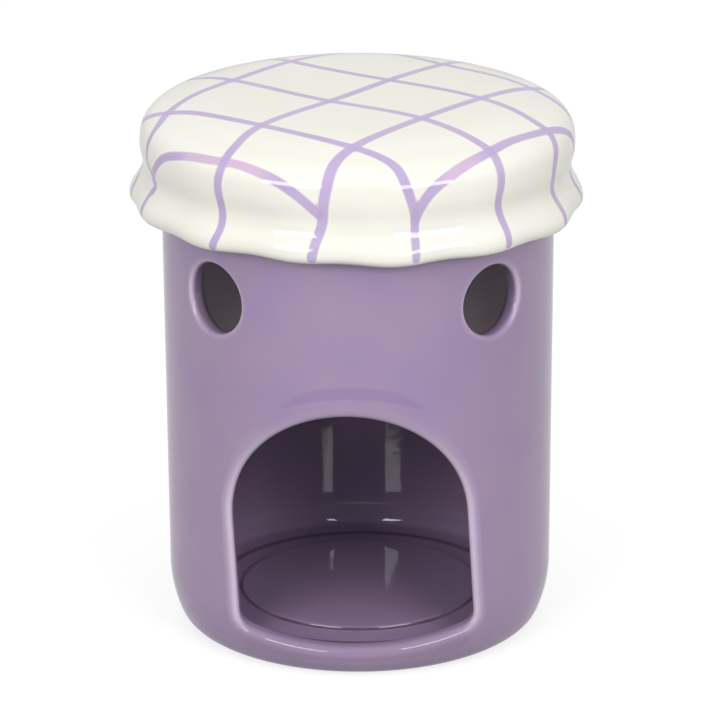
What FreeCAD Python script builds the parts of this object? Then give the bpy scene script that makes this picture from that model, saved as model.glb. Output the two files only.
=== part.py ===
"""Wax warmer in the shape of a jam jar with a cloth-covered lid, in glazed stoneware.

Two separate pieces: a slip-cast jar with the tealight chamber below and a shallow wax dish
formed in its top, and a loose lid that stands for a cloth gathered over a jar's mouth.
Millimetres. Z is up, the arched opening faces -Y, and the origin is the centre of the foot
on the surface that the jar stands on.
"""
import FreeCAD, Part
import math
import os
import sys

import Sketcher

Vector = FreeCAD.Vector

# Driving dimensions

DIMENSIONS = [
    # jar, outside
    ("wall_radius", 47.7),         # outside of the wall, just above the heel
    ("mould_draft", 0.6),          # how much wider the wall is at its top
    ("heel_inset", 7.6),           # how far the foot lies inside the wall
    ("heel_radius", 5.7),          # the tighter curve, just above the foot
    ("heel_height", 15.5),         # where the outer curve has become the straight wall
    ("rim_height", 129.6),         # top of the collar, on which the lid rests
    ("rim_round", 1.6),
    ("rim_width", 6.4),            # from the collar's outside to the dish's mouth
    ("collar_rise", 18.1),         # the collar under the lid, from the shoulder to the rim
    ("collar_step", 2.3),          # how far the wall steps in at the shoulder
    # jar, underside
    ("foot_ring_width", 4.5),
    ("foot_recess", 1.8),
    # jar, inside
    ("wall", 4.8),
    ("floor_height", 6.3),
    ("floor_round", 6.5),          # curve between the floor and the wall
    ("plateau_radius", 30.0),      # raised disc on which the tealight stands
    ("plateau_rise", 0.8),
    ("plateau_slope", 1.2),        # width of the disc's sloping edge
    ("dish_depth", 16.0),
    ("dish_thickness", 4.5),
    # arched opening for the tealight
    ("arch_radius", 28.6),
    ("arch_spring_height", 39.5),  # centre of the arch's round top
    ("arch_offset", -1.05),        # the opening is cut by hand, a little off the middle
    ("arch_lean", 3.3),            # degrees: its legs lean, for the same reason
    ("sill_rise", 1.0),            # the sill's lowest point above the tealight's disc
    ("sill_curve", 150.0),         # radius of the sill, which rises towards its corners
    ("arch_corner", 3.5),
    ("arch_lip", 2.4),             # rounding of the opening's outer edge
    ("arch_inner_lip", 1.0),
    # two vents below the dish
    ("vent_radius", 8.8),
    ("vent_drop", 15.2),           # from the dish's underside down to the vents' centres
    ("vent_angle", 44.75),         # degrees from the front, one on each side
    ("vent_lip", 1.4),
    ("vent_inner_lip", 1.0),
    # lid
    ("lid_clearance", 1.8),        # between the collar and the inside of the lid's neck
    ("lid_wall", 4.1),
    ("lid_top", 6.0),              # thickness of the lid at its middle
    ("crown_bulge", 1.2),          # the rounded top stands out past the neck by this
    ("crown_drop", 4.6),           # its widest line below the rim on which the lid rests
    ("neck_drop", 11.2),
    ("flare_reach", 3.5),          # the flared skirt stands out past the neck by this
    ("flare_drop", 18.2),
    ("hem_drop", 20.9),
    ("fold_count", 14),
    ("fold_depth", 0.45),          # in and out of the mean skirt, at the hem
    ("hem_wave", 0.07),            # up and down, along the hem
]

document = FreeCAD.newDocument("wax_warmer")
sheet = document.addObject("Spreadsheet::Sheet", "dims")
for row, (alias, number) in enumerate(DIMENSIONS, start=1):
    sheet.set("A%d" % row, alias)
    sheet.set("B%d" % row, str(number))
    sheet.setAlias("B%d" % row, alias)
document.recompute()


class Size:
    """A length together with the expression that works it out from the sheet."""

    def __init__(self, value, text):
        self.value = value
        self.text = text

    def joined(self, other, sign, value):
        text = other.text if isinstance(other, Size) else repr(other)
        return Size(value, "(%s %s %s)" % (self.text, sign, text))

    def __add__(self, other):
        return self.joined(other, "+", self.value + number_of(other))

    def __sub__(self, other):
        return self.joined(other, "-", self.value - number_of(other))

    def __mul__(self, other):
        return self.joined(other, "*", self.value * number_of(other))

    def __truediv__(self, other):
        return self.joined(other, "/", self.value / number_of(other))

    def squared(self):
        return self * self

    def root(self):
        return Size(math.sqrt(self.value), "sqrt(%s)" % self.text)

    def sine(self):
        return Size(math.sin(math.radians(self.value)), "sin(%s)" % self.text)

    def cosine(self):
        return Size(math.cos(math.radians(self.value)), "cos(%s)" % self.text)


def number_of(item):
    return item.value if isinstance(item, Size) else item


def dim(alias):
    return Size(float(sheet.get(alias)), "dims." + alias)


ZERO = Size(0.0, "0")
LEVEL = 1e-6    # an edge whose ends and middle differ less than this in height is level

# Sizes that follow from the driving ones

wall_top_radius = dim("wall_radius") + dim("mould_draft")
collar_radius = wall_top_radius - dim("collar_step")
shoulder_height = dim("rim_height") - dim("collar_rise")
foot_radius = dim("wall_radius") - dim("heel_inset")
inner_radius = dim("wall_radius") - dim("wall")
collar_inner_radius = collar_radius - dim("wall")
dish_mouth_radius = collar_radius - dim("rim_width")
dish_bottom_height = dim("rim_height") - dim("dish_depth")
dish_sphere = (dish_mouth_radius.squared() + dim("dish_depth").squared()) / (dim("dish_depth") * 2)
roof_height = dish_bottom_height - dim("dish_thickness")
plateau_height = dim("floor_height") + dim("plateau_rise")
sill_height = plateau_height + dim("sill_rise")
vent_height = roof_height - dim("vent_drop")


# Sketches: every corner and radius is bound to the sheet

def line(point):
    return (point, None, None)


def bulge_right(point, radius):
    """An arc to a point, bulging to the right of the way there."""
    return (point, 1, radius)


def bulge_left(point, radius):
    return (point, -1, radius)


class Outline:
    """A closed outline in an upright plane through the axis: x is across, y is up."""

    def __init__(self, body, name):
        self.sketch = body.newObject("Sketcher::SketchObject", name)
        plane = [item for item in body.Origin.OriginFeatures if item.Role == "XZ_Plane"][0]
        self.sketch.AttachmentSupport = [(plane, "")]
        self.sketch.MapMode = "FlatFace"

    def bind(self, constraint, size):
        index = self.sketch.addConstraint(constraint)
        label = "size_%d" % index
        self.sketch.renameConstraint(index, label)
        self.sketch.setExpression("Constraints." + label, size.text)

    def place(self, curve, end, point):
        """Hold one end of a curve at a point given by two sizes."""
        for kind, axis, size in (("DistanceX", -2, point[0]), ("DistanceY", -1, point[1])):
            if size is ZERO:
                self.sketch.addConstraint(Sketcher.Constraint("PointOnObject", curve, end, axis))
            else:
                self.bind(Sketcher.Constraint(kind, -1, 1, curve, end, size.value), size)

    def add_curve(self, a, b, side, radius):
        """Add one line or arc, and say which of its ends is at a and which at b."""
        if radius is None:
            return self.sketch.addGeometry(Part.LineSegment(a, b), False), 1, 2
        half = (b - a).Length / 2
        sagitta = radius.value - math.sqrt(max(radius.value ** 2 - half ** 2, 0.0))
        right = Vector((b - a).y, -(b - a).x, 0).normalize()
        arc = Part.Arc(a, (a + b) * 0.5 + right * (side * sagitta), b)
        curve = self.sketch.addGeometry(arc, False)
        self.bind(Sketcher.Constraint("Radius", curve, radius.value), radius)
        if self.sketch.getPoint(curve, 1).distanceToPoint(a) < half:
            return curve, 1, 2
        return curve, 2, 1

    def trace(self, start, steps):
        """Close an outline from a start point through the steps and back to the start."""
        first = last = None
        here = start
        for point, side, radius in steps:
            a = Vector(here[0].value, here[1].value, 0)
            b = Vector(point[0].value, point[1].value, 0)
            curve, begin, end = self.add_curve(a, b, side, radius)
            if last is None:
                first = (curve, begin)
            else:
                self.sketch.addConstraint(Sketcher.Constraint("Coincident", *last, curve, begin))
            self.place(curve, end, point)
            last = (curve, end)
            here = point
        self.sketch.addConstraint(Sketcher.Constraint("Coincident", *last, *first))
        document.recompute()
        return self.sketch


def turned(body, kind, name, sketch):
    """Revolve a sketch about the vertical axis, to add clay or to take it away."""
    feature = body.newObject("PartDesign::" + kind, name)
    feature.Profile = sketch
    feature.ReferenceAxis = (sketch, ["V_Axis"])
    feature.Angle = 360.0
    document.recompute()
    return feature


def cut_outwards(body, name, sketch):
    """Cut a sketch's outline from the axis out through the wall that it faces."""
    feature = body.newObject("PartDesign::Pocket", name)
    feature.Profile = sketch
    feature.Type = "Length"
    feature.setExpression("Length", "dims.wall_radius * 2")
    feature.Reversed = True
    feature.Refine = False
    document.recompute()
    return feature


def rounded(body, edges, alias, wall_share):
    """Round the named edges of the body's last feature by a size from the sheet, or by the
    given share of the wall where the wall is too thin for that."""
    base = body.Tip
    fillet = body.newObject("PartDesign::Fillet", alias + "_round")
    fillet.Base = (base, edges)
    fillet.setExpression("Radius", "min(dims.%s; dims.wall * %g)" % (alias, wall_share))
    document.recompute()
    return fillet


# The jar

def heel_tangent():
    """The larger radius of the outer curve, and the point where it meets the tighter one."""
    inset = dim("heel_inset")
    small = dim("heel_radius")
    rise = dim("heel_height") - small
    large = (inset.squared() + rise.squared() - small.squared()) / ((inset - small) * 2)
    share = large / (large - small)
    across = dim("wall_radius") - large + (large - inset) * share
    up = dim("heel_height") - rise * share
    return large, (across, up)


def jar_outside(body):
    large, meeting = heel_tangent()
    steps = [
        line((foot_radius, ZERO)),
        bulge_right(meeting, dim("heel_radius")),
        bulge_right((dim("wall_radius"), dim("heel_height")), large),
        line((wall_top_radius, shoulder_height)),
        bulge_right((collar_radius, shoulder_height + dim("collar_step")), dim("collar_step")),
        line((collar_radius, dim("rim_height") - dim("rim_round"))),
        bulge_right((collar_radius - dim("rim_round"), dim("rim_height")), dim("rim_round")),
        line((ZERO, dim("rim_height"))),
        line((ZERO, ZERO)),
    ]
    sketch = Outline(body, "outside_section").trace((ZERO, ZERO), steps)
    return turned(body, "Revolution", "outside", sketch)


def jar_chamber(body):
    roof_sphere = dish_sphere + dim("dish_thickness")
    sphere_centre = roof_height + roof_sphere
    roof_edge = sphere_centre - (roof_sphere.squared() - collar_inner_radius.squared()).root()
    corner = inner_radius - dim("floor_round")
    steps = [
        line((dim("plateau_radius") - dim("plateau_slope"), plateau_height)),
        line((dim("plateau_radius"), dim("floor_height"))),
        line((corner, dim("floor_height"))),
        bulge_right((inner_radius, dim("floor_height") + dim("floor_round")), dim("floor_round")),
        line((inner_radius, shoulder_height)),
        line((collar_inner_radius, shoulder_height + dim("collar_step"))),
        line((collar_inner_radius, roof_edge)),
        bulge_left((ZERO, roof_height), roof_sphere),
        line((ZERO, plateau_height)),
    ]
    sketch = Outline(body, "chamber_section").trace((ZERO, plateau_height), steps)
    return turned(body, "Groove", "chamber", sketch)


def jar_dish(body):
    steps = [
        bulge_right((dish_mouth_radius, dim("rim_height")), dish_sphere),
        line((dish_mouth_radius, dim("rim_height") + dim("dish_depth"))),
        line((ZERO, dim("rim_height") + dim("dish_depth"))),
        line((ZERO, dish_bottom_height)),
    ]
    sketch = Outline(body, "dish_section").trace((ZERO, dish_bottom_height), steps)
    return turned(body, "Groove", "wax_dish", sketch)


def jar_underside(body):
    ring_inside = foot_radius - dim("foot_ring_width")
    steps = [
        line((ring_inside, ZERO - dim("foot_recess"))),
        line((ring_inside, ZERO)),
        line((ring_inside - dim("foot_recess"), dim("foot_recess"))),
        line((ZERO, dim("foot_recess"))),
        line((ZERO, ZERO - dim("foot_recess"))),
    ]
    sketch = Outline(body, "underside_section").trace((ZERO, ZERO - dim("foot_recess")), steps)
    return turned(body, "Groove", "underside", sketch)


def arch_corner(side):
    """Where one lower corner of the arch meets its leg, and where it meets the sill."""
    lean = dim("arch_lean")
    out = (lean.cosine() * side, lean.sine() * side)
    down = (lean.sine(), lean.cosine() * -1)
    corner = dim("arch_corner")
    sill_centre = sill_height + dim("sill_curve")
    from_side = dim("arch_radius") - corner
    start = (dim("arch_offset") + from_side * out[0], dim("arch_spring_height") + from_side * out[1])
    gap = (start[0] - dim("arch_offset"), start[1] - sill_centre)
    reach = dim("sill_curve") - corner
    along = gap[0] * down[0] + gap[1] * down[1]
    square = along.squared() + reach.squared() - gap[0].squared() - gap[1].squared()
    travel = square.root() - along
    centre = (start[0] + travel * down[0], start[1] + travel * down[1])
    on_leg = (centre[0] + corner * out[0], centre[1] + corner * out[1])
    share = dim("sill_curve") / reach
    on_sill = (dim("arch_offset") + (centre[0] - dim("arch_offset")) * share,
               sill_centre + (centre[1] - sill_centre) * share)
    return on_leg, on_sill


def arch_point(across, up):
    """A point on the arch's round top, given along and square to its leaning springing line."""
    lean = dim("arch_lean")
    radius = dim("arch_radius")
    x = dim("arch_offset") + radius * (lean.cosine() * across - lean.sine() * up)
    y = dim("arch_spring_height") + radius * (lean.sine() * across + lean.cosine() * up)
    return (x, y)


def jar_arch(body):
    left_leg, left_sill = arch_corner(-1)
    right_leg, right_sill = arch_corner(1)
    steps = [
        bulge_right(right_sill, dim("sill_curve")),
        bulge_right(right_leg, dim("arch_corner")),
        line(arch_point(1, 0)),
        bulge_right(arch_point(0, 1), dim("arch_radius")),
        bulge_right(arch_point(-1, 0), dim("arch_radius")),
        line(left_leg),
        bulge_right(left_sill, dim("arch_corner")),
    ]
    sketch = Outline(body, "arch_outline").trace(left_sill, steps)
    return cut_outwards(body, "arch", sketch)


def jar_vents(body):
    """One round vent, cut square to the wall, and its mirror image."""
    sketch = Outline(body, "vent_outline").sketch
    sketch.setExpression("AttachmentOffset.Rotation.Angle", "dims.vent_angle * 1deg")
    sketch.AttachmentOffset = FreeCAD.Placement(Vector(), Vector(0, 1, 0), dim("vent_angle").value)
    circle = Part.Circle(Vector(0, vent_height.value, 0), Vector(0, 0, 1), dim("vent_radius").value)
    curve = sketch.addGeometry(circle, False)
    sketch.addConstraint(Sketcher.Constraint("PointOnObject", curve, 3, -2))
    index = sketch.addConstraint(Sketcher.Constraint("DistanceY", -1, 1, curve, 3, vent_height.value))
    sketch.renameConstraint(index, "height")
    sketch.setExpression("Constraints.height", vent_height.text)
    index = sketch.addConstraint(Sketcher.Constraint("Radius", curve, dim("vent_radius").value))
    sketch.renameConstraint(index, "radius")
    sketch.setExpression("Constraints.radius", "dims.vent_radius")
    document.recompute()
    vent = cut_outwards(body, "vent", sketch)
    pair = body.newObject("PartDesign::Mirrored", "vent_pair")
    pair.Originals = [vent]
    side_plane = [item for item in body.Origin.OriginFeatures if item.Role == "YZ_Plane"][0]
    pair.MirrorPlane = (side_plane, [""])
    body.Tip = pair
    document.recompute()
    return pair


def on_vent(box):
    """Whether an edge's box lies round the middle of one of the two vents."""
    across = dim("wall_radius").value * math.sin(math.radians(dim("vent_angle").value))
    middle = Vector(abs(box.Center.x) - across, 0, box.Center.z - vent_height.value)
    return middle.Length < dim("vent_radius").value


def opening_edges(shape, of_vents, outer):
    """Names of the edges where the arch, or the vents, meet the wall's outer or inner face,
    leaving out the straight edges along the cut and the wall's own level circles."""
    middle_of_wall = (dim("wall_radius") - dim("wall") * 0.5).value
    names = []
    for number, edge in enumerate(shape.Edges, start=1):
        if edge.Degenerated:
            continue
        box = edge.BoundBox
        behind = box.YMax > -dim("wall").value
        along_cut = edge.Curve.TypeId == "Part::GeomLine"
        round_the_axis = box.ZLength < LEVEL
        if behind or along_cut or round_the_axis or on_vent(box) != of_vents:
            continue
        point = edge.valueAt((edge.FirstParameter + edge.LastParameter) / 2)
        if (math.hypot(point.x, point.y) > middle_of_wall) == outer:
            names.append("Edge%d" % number)
    return names


def jar_body():
    body = document.addObject("PartDesign::Body", "jar_body")
    body.Label = "jar_body"
    jar_outside(body)
    jar_chamber(body)
    jar_dish(body)
    jar_underside(body)
    jar_arch(body)
    jar_vents(body)
    for of_vents, outer, alias, wall_share in (
            (False, True, "arch_lip", 0.52),
            (False, False, "arch_inner_lip", 0.22),
            (True, True, "vent_lip", 0.64),
            (True, False, "vent_inner_lip", 0.24)):
        edges = opening_edges(body.Tip.Shape, of_vents, outer)
        rounded(body, edges, alias, wall_share)
    return body


# The lid

def lid_profile():
    """The lid's section from the middle of its top, out over the crown, down to the hem and
    back up inside, as (radius, height, share of the fold) at each station."""
    seat = dim("rim_height").value
    wall = dim("lid_wall").value
    top = seat + dim("lid_top").value
    inner_neck = collar_radius.value + dim("lid_clearance").value
    neck = inner_neck + wall
    crown = neck + dim("crown_bulge").value
    flare = neck + dim("flare_reach").value
    crown_z = seat - dim("crown_drop").value
    neck_z = seat - dim("neck_drop").value
    flare_z = seat - dim("flare_drop").value
    hem_z = seat - dim("hem_drop").value
    shoulder = top - crown_z
    lip = wall * 0.5
    waist = (neck_z + flare_z) * 0.5
    return [
        (crown * 0.12, top, 0.0),
        (crown * 0.40, top - shoulder * 0.012, 0.0),
        (crown * 0.62, top - shoulder * 0.045, 0.0),
        (crown * 0.76, top - shoulder * 0.110, 0.0),
        (crown * 0.86, top - shoulder * 0.220, 0.0),
        (crown * 0.946, top - shoulder * 0.415, 0.02),
        (crown * 0.983, top - shoulder * 0.670, 0.06),
        (crown, crown_z, 0.12),
        (neck + (crown - neck) * 0.35, (crown_z + neck_z) * 0.5 + 0.5, 0.25),
        (neck, neck_z, 0.45),
        (neck + (flare - neck) * 0.50, waist, 0.72),
        (flare, flare_z, 0.95),
        (flare - lip * 0.15, hem_z + lip * 0.55, 1.0),
        (flare - lip, hem_z, 1.0),
        (flare - lip * 1.75, hem_z + lip * 0.60, 1.0),
        (flare - wall - 0.3, flare_z + 0.9, 0.92),
        (inner_neck + (flare - neck) * 0.45, waist + 0.3, 0.70),
        (inner_neck, neck_z + 0.3, 0.45),
        (inner_neck + (crown - neck) * 0.60, (crown_z + neck_z) * 0.5 + 0.7, 0.22),
        (crown - wall - 0.1, crown_z + 0.2, 0.08),
        (crown - wall - 1.7, seat - 0.9, 0.0),
        (collar_radius.value, seat, 0.0),
    ]


def fold_wave(angle, gain):
    """In-and-out of the gathered cloth at an angle from the front: even folds, made uneven by
    two slower waves, as hands leave them. The folds get the gain that the poles need."""
    first_peak = math.radians(11.7)
    folds = gain * math.cos(dim("fold_count").value * (angle - first_peak))
    drift = 0.8 * math.cos(3 * (angle - math.radians(41.0)))
    return folds + drift + 0.55 * math.cos(7 * (angle - math.radians(8.0)))


def cloth_lid():
    """One smooth surface, periodic round the axis, closed by a flat disc in the middle of the
    top and by the flat seat that rests on the jar's rim."""
    stations = [Vector(*station) for station in lid_profile()]
    section = Part.BSplineCurve()
    section.interpolate(Points=stations)
    columns = 6 * int(dim("fold_count").value)
    step = 2 * math.pi / columns
    ring_gain = 3 / (2 + math.cos(step))
    fold_gain = 3 / (2 + math.cos(step * dim("fold_count").value))
    poles = []
    for column in range(columns):
        angle = column * step
        fold = fold_wave(angle, fold_gain)
        ring = []
        for pole in section.getPoles():
            radius = (pole.x + pole.z * dim("fold_depth").value * fold) * ring_gain
            height = pole.y - pole.z * dim("hem_wave").value * fold
            ring.append(Vector(radius * math.sin(angle), -radius * math.cos(angle), height))
        poles.append(ring)
    surface = Part.BSplineSurface()
    surface.buildFromPolesMultsKnots(
        poles, [1] * (columns + 1), section.getMultiplicities(),
        [float(knot) for knot in range(columns + 1)], section.getKnots(),
        True, False, 3, section.Degree)
    skin = surface.toShape()
    rings = [edge for edge in skin.Edges if edge.isClosed() and edge.BoundBox.ZLength < LEVEL]
    discs = [Part.Face(Part.Wire([ring])) for ring in rings]
    shell = Part.Shell([face.copy() for face in [skin] + discs])
    shell.sewShape()
    solid = Part.Solid(shell)
    lid = document.addObject("Part::Feature", "cloth_lid")
    lid.Label = "cloth_lid"
    lid.Shape = solid
    lid.Placement = FreeCAD.Placement()
    return lid


pieces = [jar_body(), cloth_lid()]
document.recompute()

# Nothing is written unless every feature and every piece is sound

faults = [item.Name for item in document.Objects if {"Invalid", "Error"} & set(item.State)]
for piece in pieces:
    if piece.Shape.isNull() or not piece.Shape.isValid() or len(piece.Shape.Solids) != 1:
        faults.append(piece.Label)
if faults:
    sys.exit("not sound: " + ", ".join(faults))

os.makedirs("parts", exist_ok=True)
for piece in pieces:
    piece.Shape.exportStep("parts/" + piece.Label + ".step")
    box = piece.Shape.optimalBoundingBox()
    print("%s: %.1f x %.1f x %.1f mm, from z %.2f to %.2f, %.1f cubic centimetres" % (
        piece.Label, box.XLength, box.YLength, box.ZLength, box.ZMin, box.ZMax,
        piece.Shape.Volume / 1000))
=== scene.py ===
# %% [markdown]
# # A wax warmer like a jam jar with a cloth tied over it
# The real object is two pieces of slip-cast stoneware: a jar in a purple glaze, with an arched
# opening for a tealight and two vents, and a loose cream lid painted with a lilac check. The
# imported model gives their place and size. This lesson models both again with smooth, even
# meshes, because a glossy glaze shows every facet, and gives them their glaze and paint.

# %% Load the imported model
import math

import bmesh
import bpy
import numpy as np
from mathutils import Matrix, Vector
from mathutils.kdtree import KDTree


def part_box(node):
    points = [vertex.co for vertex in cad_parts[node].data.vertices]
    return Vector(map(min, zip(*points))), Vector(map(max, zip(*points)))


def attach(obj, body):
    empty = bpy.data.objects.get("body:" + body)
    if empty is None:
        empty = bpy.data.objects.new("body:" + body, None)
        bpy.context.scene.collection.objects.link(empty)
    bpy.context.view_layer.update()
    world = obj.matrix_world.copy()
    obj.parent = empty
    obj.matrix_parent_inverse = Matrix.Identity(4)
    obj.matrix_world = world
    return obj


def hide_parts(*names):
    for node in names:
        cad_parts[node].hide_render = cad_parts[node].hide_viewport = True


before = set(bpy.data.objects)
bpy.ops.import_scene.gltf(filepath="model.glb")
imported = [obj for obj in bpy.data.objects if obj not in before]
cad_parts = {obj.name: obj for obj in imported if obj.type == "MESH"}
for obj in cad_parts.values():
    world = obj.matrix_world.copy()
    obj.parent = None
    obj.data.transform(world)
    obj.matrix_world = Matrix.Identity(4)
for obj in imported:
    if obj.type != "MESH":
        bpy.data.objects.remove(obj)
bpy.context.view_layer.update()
jar_low, jar_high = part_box("jar_body")
lid_low, lid_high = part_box("cloth_lid")
print(len(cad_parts), "nodes")
print("jar", tuple(jar_high - jar_low), "lid", tuple(lid_high - lid_low))

# %% [markdown]
# ## Sizes
# Lengths are in metres, as Blender has them, and MM turns the sizes of the real jar into them.
# The wall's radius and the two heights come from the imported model, and the rest is measured
# from them.

# %% Sizes
MM = 0.001
WALL_TOP_RADIUS = (jar_high.x - jar_low.x) / 2
WALL_DRAFT = 0.6 * MM
WALL_RADIUS = WALL_TOP_RADIUS - WALL_DRAFT
RIM_HEIGHT = jar_high.z
LID_TOP = lid_high.z
WALL = 4.8 * MM
INNER_RADIUS = WALL_RADIUS - WALL
HEEL_HEIGHT = 15.5 * MM
SHOULDER_DROP = 18.1 * MM
SHOULDER_HEIGHT = RIM_HEIGHT - SHOULDER_DROP
COLLAR_STEP = 2.3 * MM
COLLAR_RADIUS = WALL_TOP_RADIUS - COLLAR_STEP
COLLAR_FOOT = SHOULDER_HEIGHT + COLLAR_STEP
FLOOR_HEIGHT = 6.3 * MM
RIM_WIDTH = 6.4 * MM
DISH_MOUTH = COLLAR_RADIUS - RIM_WIDTH
DISH_DEPTH = 16.0 * MM
DISH_SPHERE = (DISH_MOUTH ** 2 + DISH_DEPTH ** 2) / (2 * DISH_DEPTH)
DISH_CENTRE = RIM_HEIGHT - DISH_DEPTH + DISH_SPHERE
ROOF_THICKNESS = 4.5 * MM
ROOF_SPHERE = DISH_SPHERE + ROOF_THICKNESS
print("wall radius", WALL_RADIUS, "shoulder", SHOULDER_HEIGHT, "rim", RIM_HEIGHT)

# %% [markdown]
# ## Drawing a section and turning it
# A potter's form is a section turned round an axis. The section is drawn as by hand: one vertex
# is extruded from point to point. Then the spin operator turns it, and its first and last
# copies are merged. A lathe would be a Screw modifier, but the spin leaves a plain mesh whose
# columns can be found again when the openings are cut.

# %% Points of a section
def arc(centre, radius, start, end, steps):
    """Points along an arc of a section, as (radius, height), without its first point. Angles
    are in degrees: 0 is outwards and 90 is up."""
    turns = [math.radians(start + (end - start) * step / steps) for step in range(1, steps + 1)]
    return [(centre[0] + radius * math.cos(a), centre[1] + radius * math.sin(a)) for a in turns]


def straight(start, end, steps):
    """Points along a straight stretch of a section, without its first point."""
    return [tuple(s + (e - s) * step / steps for s, e in zip(start, end))
            for step in range(1, steps + 1)]


print("a quarter round:", arc((0, 0), 1, 0, 90, 2))

# %% A turned section
MERGE_DISTANCE = 0.001 * MM


def leave_edit_mode():
    if bpy.context.mode != "OBJECT":
        bpy.ops.object.mode_set(mode="OBJECT")


def turned_section(name, section, columns):
    """Extrude one vertex along a section that faces -Y, and spin it round the axis."""
    leave_edit_mode()
    bpy.ops.object.select_all(action="DESELECT")
    bpy.ops.mesh.primitive_plane_add(size=MM, location=(0, 0, 0), enter_editmode=True)
    piece = bpy.context.object
    piece.name = piece.data.name = name
    bpy.ops.mesh.select_mode(type="VERT")
    bpy.ops.mesh.select_all(action="SELECT")
    bpy.ops.mesh.merge(type="CENTER")
    here = Vector((0, -section[0][0], section[0][1]))
    bpy.ops.transform.translate(value=here)
    for radius, height in section[1:]:
        there = Vector((0, -radius, height))
        bpy.ops.mesh.extrude_region_move(TRANSFORM_OT_translate={"value": there - here})
        here = there
    bpy.ops.mesh.select_all(action="SELECT")
    bpy.ops.mesh.spin(steps=columns, angle=2 * math.pi, center=(0, 0, 0), axis=(0, 0, 1))
    bpy.ops.mesh.select_all(action="SELECT")
    bpy.ops.mesh.remove_doubles(threshold=MERGE_DISTANCE)
    leave_edit_mode()
    print(name, "has", len(piece.data.polygons), "faces")
    return piece


# %% [markdown]
# ## The jar's outer skin
# A cast jar has no sharp corner. Its heel is rounded by two radii, a small one at the foot and a
# large one that runs into the wall, and its rim dips into a shallow dish for the wax. The
# section is drawn with arcs and not freehand, because their radii can be read and changed.

# %% The outer section
HEEL_INSET = 7.6 * MM
HEEL_SMALL = 5.7 * MM
FOOT_RADIUS = WALL_RADIUS - HEEL_INSET
FOOT_RING = 4.5 * MM
FOOT_RECESS = 1.8 * MM
FOOT_EDGE = 0.3 * MM
FOOT_EDGE_RISE = 0.2 * MM
RIM_ROUND = 1.6 * MM
HEEL_ROWS = 10
WALL_ROWS = 40
COLLAR_ROWS = 6
CORNER_ROWS = 5
DISH_ROWS = 16
COLUMNS = 192
# From the rim round into the dish: outset from the dish's mouth and rise, in mm
RIM_INTO_DISH = [(0.8, 0), (0.2, -0.15)]

heel_rise = HEEL_HEIGHT - HEEL_SMALL
HEEL_LARGE = (HEEL_INSET ** 2 + heel_rise ** 2 - HEEL_SMALL ** 2) / (2 * (HEEL_INSET - HEEL_SMALL))
heel_meeting = -math.degrees(math.asin(heel_rise / (HEEL_LARGE - HEEL_SMALL)))
dish_mouth_turn = math.degrees(math.atan2(RIM_HEIGHT - DISH_CENTRE, DISH_MOUTH))
foot_inside = FOOT_RADIUS - FOOT_RING
rim_round_foot = RIM_HEIGHT - RIM_ROUND

outer = [(0, FOOT_RECESS), (foot_inside - FOOT_RECESS, FOOT_RECESS)]
outer += [(foot_inside - FOOT_EDGE, FOOT_EDGE_RISE), (foot_inside + FOOT_EDGE, 0), (FOOT_RADIUS, 0)]
outer += arc((FOOT_RADIUS, HEEL_SMALL), HEEL_SMALL, -90, heel_meeting, CORNER_ROWS)
outer_block_start = len(outer) - 1
outer += arc((WALL_RADIUS - HEEL_LARGE, HEEL_HEIGHT), HEEL_LARGE, heel_meeting, 0, HEEL_ROWS)
outer += straight((WALL_RADIUS, HEEL_HEIGHT), (WALL_TOP_RADIUS, SHOULDER_HEIGHT), WALL_ROWS)
outer += arc((COLLAR_RADIUS, SHOULDER_HEIGHT), COLLAR_STEP, 0, 90, CORNER_ROWS)
outer += straight((COLLAR_RADIUS, COLLAR_FOOT), (COLLAR_RADIUS, rim_round_foot), COLLAR_ROWS)
outer += arc((COLLAR_RADIUS - RIM_ROUND, rim_round_foot), RIM_ROUND, 0, 90, CORNER_ROWS)
outer += [(DISH_MOUTH + outset * MM, RIM_HEIGHT + rise * MM) for outset, rise in RIM_INTO_DISH]
outer += arc((0, DISH_CENTRE), DISH_SPHERE, dish_mouth_turn - 1, -90, DISH_ROWS)
print("the outer section has", len(outer), "points")

# %% [markdown]
# ## The jar's inner skin
# The inner skin lines the tealight's chamber: a raised disc on the floor, the rounded corner
# round it, the wall, and the domed roof under the dish. Between the heel and the shoulder it
# has the same rows as the outer skin, so that an opening takes the same faces from both.

# %% The inner section
PLATEAU = FLOOR_HEIGHT + 0.8 * MM
DISC_SUPPORT = 20 * MM
DISC = 29.6 * MM
CREASE = 36.3 * MM
CREASE_START = CREASE - 2 * MM
INNER_COLLAR = COLLAR_RADIUS - WALL
STEP_ROWS = 3
UPPER_ROWS = 5
# The disc's edge: outset and drop from its top, then outset and rise from the floor, in mm
DISC_EDGE = [(-0.9, 0), (-0.3, 0), (0, 0.08), (0.15, 0.3)]
DISC_FOOT = [(0.25, 0.1), (0.6, 0), (1.4, 0)]
# From the crease round the floor up to the plain wall: inset from the wall and rise, in mm
FLOOR_CORNER = [(6.6, 0), (5.1, 0.06), (3.7, 0.22), (2.6, 0.5), (1.9, 0.8), (1.5, 1.25),
                (1.2, 2.3), (0.62, 4.1), (0.06, 6.0)]

roof_edge = DISH_CENTRE - math.sqrt(ROOF_SPHERE ** 2 - INNER_COLLAR ** 2)
roof_turn = math.degrees(math.atan2(roof_edge - DISH_CENTRE, INNER_COLLAR))

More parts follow.
